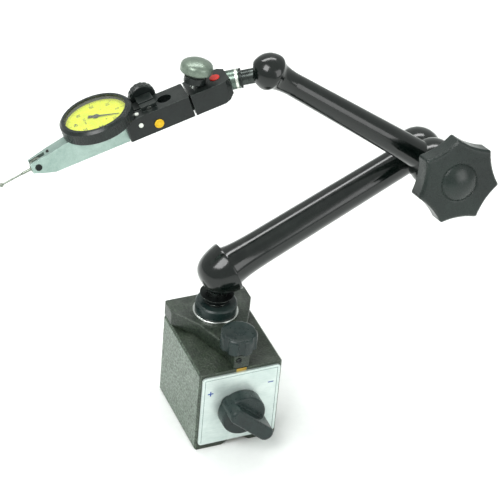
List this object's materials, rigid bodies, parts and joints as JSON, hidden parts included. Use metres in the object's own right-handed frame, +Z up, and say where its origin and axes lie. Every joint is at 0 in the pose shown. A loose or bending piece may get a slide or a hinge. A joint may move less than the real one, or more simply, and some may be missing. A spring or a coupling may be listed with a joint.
{
  "type": "dial indicator on magnetic base",
  "caption": "Lever-type dial test indicator on a two-section articulated arm with one clamping star knob, standing on a switchable magnetic base with fine adjustment.",
  "frame": {"origin": "centre of the magnetic base's foot, on the surface it stands on", "axes": "+Z up from the foot, -Y out of the switch knob's face, +X to the right of someone facing the switch"},
  "size_m": [0.2673, 0.1006, 0.2248],
  "materials": {
    "pole_paint": "hammered dark green-grey paint",
    "spacer_brass": "plain",
    "cover_plate": "satin",
    "plain_steel": "turned",
    "front_plate": "satin light plate",
    "magnet": "dull ferrite",
    "knob_black": "satin",
    "lever_paint": "hammered dark green-grey paint",
    "bright_steel": "polished",
    "black_oxide": "semi-gloss black",
    "arm_black": "gloss black",
    "rod_steel": "plain",
    "white_plastic": "satin",
    "sleeve_grey": "satin",
    "head_black": "satin black",
    "red_plastic": "gloss",
    "knob_grey": "satin grey-green",
    "brass_bright": "polished",
    "body_silver": "satin",
    "bezel_black": "satin black",
    "crystal_clear": "clear",
    "dial_yellow": "matt yellow-green",
    "stylus_steel": "polished"
  },
  "bodies": {
    "base": {"left_pole": "pole_paint", "right_pole": "pole_paint", "pole_spacer": "spacer_brass", "rear_cover": "cover_plate", "base_screws": "plain_steel", "front_plate": "front_plate", "hinge_block": "plain_steel"},
    "switch": {"rotary_magnet": "magnet", "rotor_segments": "plain_steel", "switch_shaft": "plain_steel", "switch_knob": "knob_black"},
    "adjust_lever": {"adjust_lever": "lever_paint", "hinge_pin": "plain_steel", "stop_screw": "black_oxide", "stud_washer": "bright_steel", "stud_collar": "black_oxide", "base_ball_stud": "plain_steel"},
    "base_shoe": {"base_shoe": "plain_steel"},
    "base_fine_knob": {"base_adjust_screw": "plain_steel", "base_adjust_knob": "knob_black"},
    "lower_swivel": {"lower_swivel_ring": "black_oxide"},
    "lower_arm": {"lower_arm": "arm_black", "friction_washer": "plain_steel"},
    "clamp_bolt": {"clamp_bolt": "plain_steel"},
    "lower_rod": {"lower_push_rod": "rod_steel", "lower_ball_seat": "plain_steel"},
    "upper_arm": {"upper_arm": "arm_black"},
    "wedge_sleeve": {"wedge_sleeve": "plain_steel"},
    "upper_rod": {"upper_push_rod": "rod_steel", "upper_ball_seat": "plain_steel"},
    "star_knob": {"star_knob": "knob_black", "knob_insert": "plain_steel", "knob_cap": "knob_black"},
    "upper_swivel": {"upper_swivel_ring": "white_plastic"},
    "head": {"head_ball_stud": "black_oxide", "neck_sleeve": "sleeve_grey", "head_block": "head_black", "red_plug": "red_plastic", "jaw_pin": "plain_steel"},
    "head_shoe": {"head_shoe": "plain_steel"},
    "head_fine_knob": {"head_adjust_screw": "plain_steel", "head_adjust_knob": "knob_grey"},
    "jaw": {"stem_jaw": "head_black", "brass_plug": "brass_bright", "white_pins": "white_plastic", "indicator_body": "body_silver", "indicator_cover": "body_silver", "top_screw": "black_oxide", "pivot_screws": "stylus_steel"},
    "clamp_knob": {"clamp_screw": "plain_steel", "clamp_knob": "knob_black"},
    "bezel": {"bezel": "bezel_black", "crystal": "crystal_clear", "dial_face": "dial_yellow", "dial_rim": "white_plastic"},
    "pointer": {"pointer": "black_oxide"},
    "crown": {"crown_wheel": "brass_bright"},
    "sector": {"sector_lever": "brass_bright"},
    "stylus_hub": {"stylus_hub": "stylus_steel"},
    "stylus": {"stylus": "stylus_steel"}
  },
  "joints": [
    {"name": "switch_turn", "type": "hinge", "parent": "base", "child": "switch", "pos_m": [0, 0, 0.027], "axis": [0, -1, 0], "range_deg": [-47.2, 42.8]},
    {"name": "base_lever_tilt", "type": "hinge", "parent": "base", "child": "adjust_lever", "pos_m": [0, 0.023, 0.0586], "axis": [-1, 0, 0], "range_deg": [-0.3, 1.15]},
    {"name": "base_shoe_slide", "type": "slide", "parent": "adjust_lever", "child": "base_shoe", "axis": [0, 0, -1], "range_m": [-0.00025, 0.00092]},
    {"name": "base_fine_turn", "type": "hinge", "parent": "base_shoe", "child": "base_fine_knob", "pos_m": [0, -0.022, 0.05665], "axis": [0, 0, -1], "range_deg": [-173, 653]},
    {"name": "lower_yaw", "type": "hinge", "parent": "adjust_lever", "child": "lower_swivel", "pos_m": [0, 0.012, 0.0739], "axis": [0, 0, 1], "continuous": true},
    {"name": "lower_tilt", "type": "hinge", "parent": "lower_swivel", "child": "lower_arm", "pos_m": [0, 0.012, 0.092], "axis": [-0.0349, -0.9994, 0], "range_deg": [-8, 25]},
    {"name": "draw_bolt_slide", "type": "slide", "parent": "lower_arm", "child": "clamp_bolt", "axis": [0.0337, 0.9653, -0.2588], "range_m": [0, 0.00047]},
    {"name": "lower_rod_slide", "type": "slide", "parent": "lower_arm", "child": "lower_rod", "axis": [0.9153, 0.0742, 0.396], "range_m": [0, 0.00048]},
    {"name": "elbow", "type": "hinge", "parent": "lower_arm", "child": "upper_arm", "pos_m": [0.12197, 0.00264, 0.15023], "axis": [-0.0337, -0.9653, 0.2588], "range_deg": [-120, 20]},
    {"name": "wedge_sleeve_slide", "type": "slide", "parent": "upper_arm", "child": "wedge_sleeve", "axis": [-0.0337, -0.9653, 0.2588], "range_m": [0, 0.00048]},
    {"name": "upper_rod_slide", "type": "slide", "parent": "upper_arm", "child": "upper_rod", "axis": [0.8195, -0.1749, -0.5457], "range_m": [0, 0.00048]},
    {"name": "star_knob_turn", "type": "hinge", "parent": "wedge_sleeve", "child": "star_knob", "pos_m": [0.12099, -0.02536, 0.15774], "axis": [-0.0337, -0.9653, 0.2588], "range_deg": [0, 272]},
    {"name": "upper_tilt", "type": "hinge", "parent": "upper_arm", "child": "upper_swivel", "pos_m": [0.02609, 0.0231, 0.21408], "axis": [-0.3611, -0.9145, 0.1827], "range_deg": [-20, 30]},
    {"name": "head_spin", "type": "hinge", "parent": "upper_swivel", "child": "head", "pos_m": [0.01145, 0.02806, 0.20994], "axis": [-0.915, 0.3096, -0.2589], "continuous": true},
    {"name": "head_shoe_slide", "type": "slide", "parent": "head", "child": "head_shoe", "axis": [-0.1426, -0.1209, -0.9824], "range_m": [-0.00023, 0.00023]},
    {"name": "head_fine_turn", "type": "hinge", "parent": "head_shoe", "child": "head_fine_knob", "pos_m": [-0.01356, 0.03201, 0.21956], "axis": [-0.1426, -0.1209, -0.9824], "range_deg": [-160, 160]},
    {"name": "jaw_tilt", "type": "hinge", "parent": "head", "child": "jaw", "pos_m": [-0.00998, 0.02898, 0.20005], "axis": [-0.097, -0.986, 0.1354], "range_deg": [-2, 2]},
    {"name": "clamp_knob_turn", "type": "hinge", "parent": "jaw", "child": "clamp_knob", "pos_m": [-0.03986, 0.04178, 0.19802], "axis": [0.097, 0.986, -0.1354], "range_deg": [0, 180]},
    {"name": "bezel_turn", "type": "hinge", "parent": "jaw", "child": "bezel", "pos_m": [-0.06738, 0.0334, 0.19107], "axis": [-0.3037, 0.1588, 0.9394], "continuous": true},
    {"name": "stylus_stroke", "type": "hinge", "parent": "jaw", "child": "stylus_hub", "pos_m": [-0.10102, 0.03394, 0.17095], "axis": [-0.097, -0.986, 0.1354], "range_deg": [-1.04, 1.04], "stiffness_Nm_per_rad": 0.05},
    {"name": "stylus_swing", "type": "hinge", "parent": "stylus_hub", "child": "stylus", "pos_m": [-0.10102, 0.03394, 0.17095], "axis": [-0.097, -0.986, 0.1354], "range_deg": [-100, 100]},
    {"name": "sector_turn", "type": "hinge", "parent": "jaw", "child": "sector", "pos_m": [-0.07903, 0.03278, 0.17826], "axis": [-0.097, -0.986, 0.1354], "range_deg": [-4.42, 4.42]},
    {"name": "crown_turn", "type": "hinge", "parent": "jaw", "child": "crown", "pos_m": [-0.06477, 0.03203, 0.18299], "axis": [-0.097, -0.986, 0.1354], "range_deg": [-39.7, 39.7]},
    {"name": "pointer_turn", "type": "hinge", "parent": "jaw", "child": "pointer", "pos_m": [-0.06896, 0.03422, 0.19596], "axis": [-0.3037, 0.1588, 0.9394], "range_deg": [-190.5, 190.5]}
  ],
  "couplings": [
    {"joint": "base_shoe_slide", "follows": "base_lever_tilt", "m_per_rad": 0.045},
    {"joint": "base_fine_turn", "follows": "base_lever_tilt", "ratio": 565.49},
    {"joint": "star_knob_turn", "follows": "draw_bolt_slide", "rad_per_m": 10026},
    {"joint": "lower_rod_slide", "follows": "draw_bolt_slide", "ratio": 1},
    {"joint": "wedge_sleeve_slide", "follows": "draw_bolt_slide", "ratio": 1},
    {"joint": "upper_rod_slide", "follows": "draw_bolt_slide", "ratio": 1},
    {"joint": "head_shoe_slide", "follows": "jaw_tilt", "m_per_rad": 0.0062585},
    {"joint": "head_fine_turn", "follows": "jaw_tilt", "ratio": 78.646},
    {"joint": "sector_turn", "follows": "stylus_stroke", "ratio": -4},
    {"joint": "crown_turn", "follows": "stylus_stroke", "ratio": 36},
    {"joint": "pointer_turn", "follows": "stylus_stroke", "ratio": 172.8}
  ]
}
